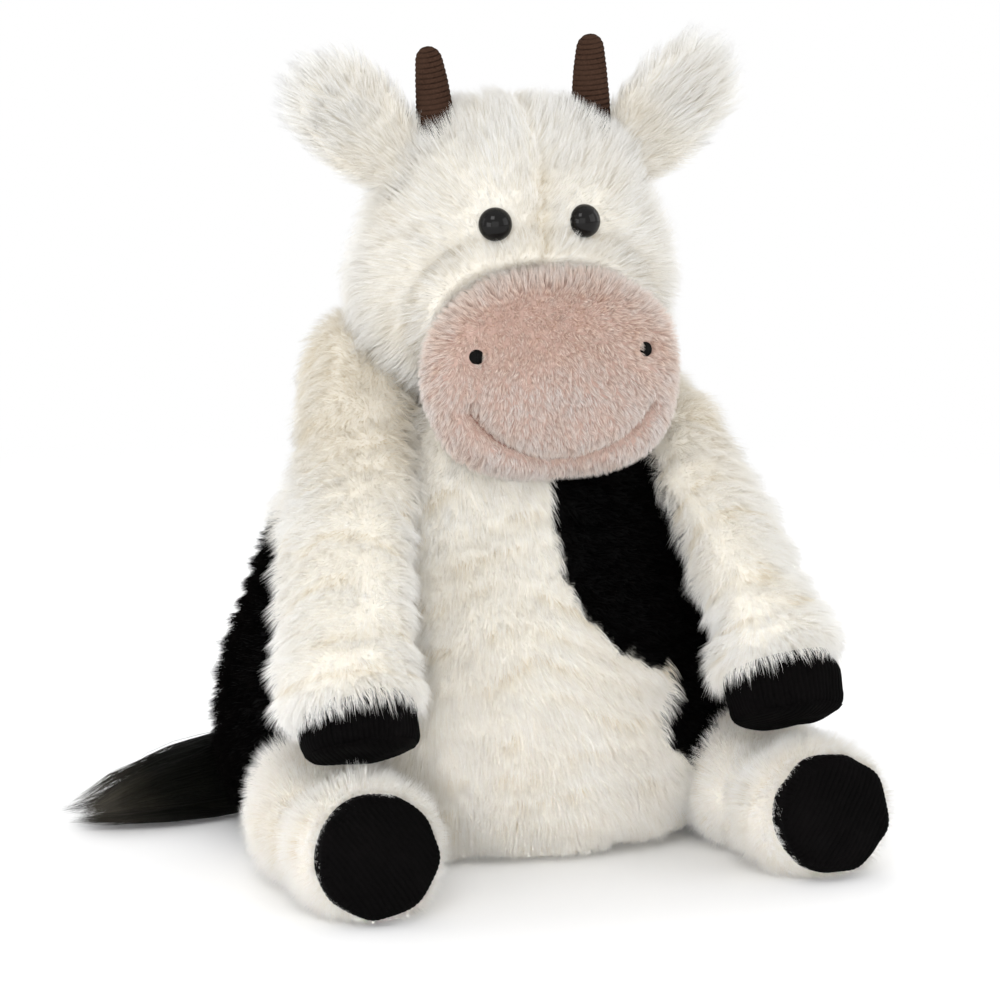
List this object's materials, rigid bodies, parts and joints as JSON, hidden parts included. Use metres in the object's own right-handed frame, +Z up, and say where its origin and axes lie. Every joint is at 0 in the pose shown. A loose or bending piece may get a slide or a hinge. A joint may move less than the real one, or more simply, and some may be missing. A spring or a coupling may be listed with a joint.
{
  "type": "sitting plush cow",
  "caption": "Sitting stuffed cow with a flat seat, rocking head, floppy ears, swinging arms and legs and a long-haired tail.",
  "frame": {"origin": "middle of the flat seat face under the body, on the surface it sits on", "axes": "+Z up, -Y the way the cow faces, +X to the cow's own left"},
  "size_m": [0.2581, 0.2298, 0.2949],
  "materials": {
    "white_plush": "long soft cream-white pile, matte",
    "black_plush": "black pile, matte",
    "pink_plush": "short dusty pink pile, matte",
    "black_corduroy": "fine black corduroy",
    "brown_corduroy": "fine dark brown corduroy",
    "black_thread": "embroidery thread",
    "pink_thread": "drawn-in stitching",
    "eye_plastic": "glossy black",
    "washer_plastic": "plain moulded plastic",
    "fibre": "loose polyester filling",
    "pouch_cloth": "woven inner bag of plastic beans",
    "tail_hair": "long straight black hair with a slight sheen"
  },
  "bodies": {
    "body": {"body_cover": "white_plush", "chest_patch": "black_plush", "flank_patch_right": "black_plush", "side_patch_left": "black_plush", "body_filling": "fibre", "bean_pouch": "pouch_cloth"},
    "head": {"head_cover": "white_plush", "head_filling": "fibre", "muzzle_cover": "pink_plush", "nostril_left": "black_thread", "nostril_right": "black_thread", "smile_stitch": "pink_thread", "eye_left": "eye_plastic", "eye_right": "eye_plastic", "eye_washer_left": "washer_plastic", "eye_washer_right": "washer_plastic", "horn_left": "brown_corduroy", "horn_right": "brown_corduroy", "horn_filling_left": "fibre", "horn_filling_right": "fibre"},
    "ear_left": {"ear_left": "white_plush"},
    "ear_right": {"ear_right": "white_plush"},
    "arm_left": {"arm_cover_left": "white_plush", "arm_filling_left": "fibre", "hoof_band_left": "black_corduroy", "hoof_sole_left": "black_corduroy"},
    "arm_right": {"arm_cover_right": "white_plush", "arm_filling_right": "fibre", "hoof_band_right": "black_corduroy", "hoof_sole_right": "black_corduroy"},
    "leg_left": {"leg_cover_left": "white_plush", "leg_filling_left": "fibre", "foot_band_left": "black_corduroy", "foot_sole_left": "black_corduroy"},
    "leg_right": {"leg_cover_right": "white_plush", "leg_filling_right": "fibre", "foot_band_right": "black_corduroy", "foot_sole_right": "black_corduroy"},
    "tail": {"tail_tube": "black_plush", "tail_tuft": "tail_hair"}
  },
  "joints": [
    {"name": "head_rock", "type": "hinge", "parent": "body", "child": "head", "pos_m": [0, -0.022, 0.1579], "axis": [-1, 0, 0], "range_deg": [0, 18]},
    {"name": "ear_flop_left", "type": "hinge", "parent": "head", "child": "ear_left", "pos_m": [0.045, -0.033, 0.2489], "axis": [0, 1, 0], "range_deg": [-6, 28], "stiffness_Nm_per_rad": 0.06},
    {"name": "ear_flop_right", "type": "hinge", "parent": "head", "child": "ear_right", "pos_m": [-0.045, -0.033, 0.2489], "axis": [0, -1, 0], "range_deg": [-6, 28], "stiffness_Nm_per_rad": 0.06},
    {"name": "arm_lift_left", "type": "hinge", "parent": "body", "child": "arm_left", "pos_m": [0.053, -0.021, 0.1549], "axis": [0, -1, 0], "range_deg": [0, 50]},
    {"name": "arm_lift_right", "type": "hinge", "parent": "body", "child": "arm_right", "pos_m": [-0.053, -0.021, 0.1549], "axis": [0, 1, 0], "range_deg": [0, 50]},
    {"name": "leg_spread_left", "type": "hinge", "parent": "body", "child": "leg_left", "pos_m": [0.083, -0.047, 0.0219], "axis": [0, 0, 1], "range_deg": [0, 30]},
    {"name": "leg_spread_right", "type": "hinge", "parent": "body", "child": "leg_right", "pos_m": [-0.083, -0.047, 0.0219], "axis": [0, 0, -1], "range_deg": [0, 30]},
    {"name": "tail_swing", "type": "hinge", "parent": "body", "child": "tail", "pos_m": [0, 0.0834, 0.0152], "axis": [0, 0, -1], "range_deg": [0, 100]}
  ]
}
